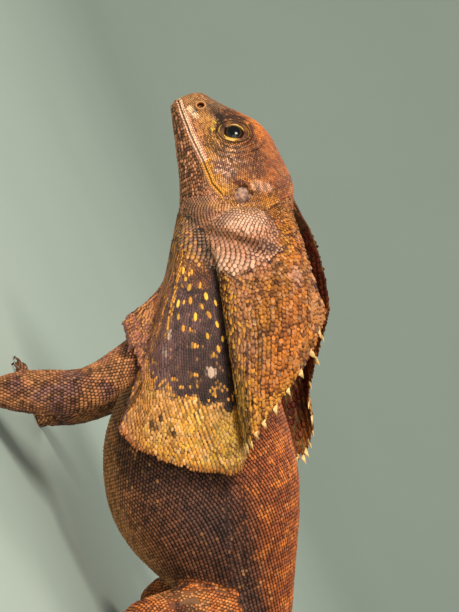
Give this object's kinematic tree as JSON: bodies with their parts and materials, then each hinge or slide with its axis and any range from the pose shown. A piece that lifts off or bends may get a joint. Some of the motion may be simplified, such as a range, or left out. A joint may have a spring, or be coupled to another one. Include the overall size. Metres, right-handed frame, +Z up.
{
  "type": "frilled lizard figure",
  "caption": "Life-size frilled lizard standing alert on four feet, with head raised, frill folded along the neck and tail laid on the floor.",
  "frame": {"origin": "middle of the whole box, at the level of the floor that the feet and tail rest on", "axes": "-Y is the way the animal faces, +X its left side, +Z up"},
  "size_m": [0.1946, 0.6362, 0.1568],
  "materials": {
    "head": "scaly skin, satin",
    "throat": "scaly skin, satin",
    "frill": "scaly skin, satin",
    "body": "scaly skin, satin",
    "limb": "scaly skin, satin",
    "tail": "scaly skin, satin",
    "eye": "wet, glossy",
    "drum": "smooth thin skin"
  },
  "bodies": {
    "root": {"head": "head", "lower_jaw": "head", "eye_left": "eye", "eye_right": "eye", "eardrum_left": "drum", "eardrum_right": "drum", "neck": "throat", "frill_left": "frill", "frill_right": "frill", "chest": "body", "belly": "body", "hips": "body", "tail_1": "tail", "tail_2": "tail", "tail_3": "tail", "tail_4": "tail", "tail_5": "tail", "upper_arm_left": "limb", "upper_arm_right": "limb", "forearm_left": "limb", "forearm_right": "limb", "hand_left": "limb", "hand_right": "limb", "thigh_left": "limb", "thigh_right": "limb", "shin_left": "limb", "shin_right": "limb", "foot_left": "limb", "foot_right": "limb"}
  },
  "joints": []
}
